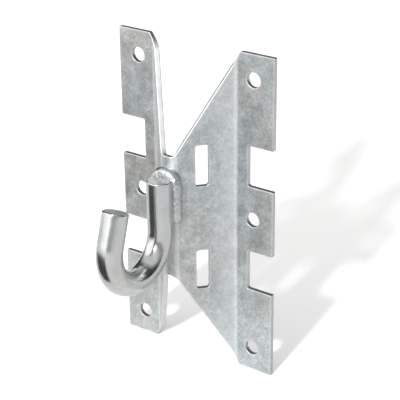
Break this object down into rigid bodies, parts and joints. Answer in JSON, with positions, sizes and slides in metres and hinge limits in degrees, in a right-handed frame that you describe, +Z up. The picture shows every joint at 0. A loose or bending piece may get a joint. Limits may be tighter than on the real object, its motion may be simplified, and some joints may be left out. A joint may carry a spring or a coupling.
{
  "type": "j hook cable support",
  "caption": "Folded galvanised steel bracket with a welded round-bar J hook, which carries cables on a wall or pole.",
  "frame": {"origin": "on the wall plane, at the centre of the bracket's six bolt holes", "axes": "+Z up along the plate, +Y into the wall, -Y out along the hook"},
  "size_m": [0.108, 0.091, 0.2],
  "materials": {
    "zinc_sheet": "satin hot-dip galvanised steel sheet with a fine grey mottle",
    "zinc_bar": "bright smooth zinc-coated round bar",
    "zinc_weld": "zinc-coated weld bead, slightly rippled"
  },
  "bodies": {
    "root": {"bracket_plate": "zinc_sheet", "hook_bar": "zinc_bar", "weld_bead": "zinc_weld"}
  },
  "joints": []
}
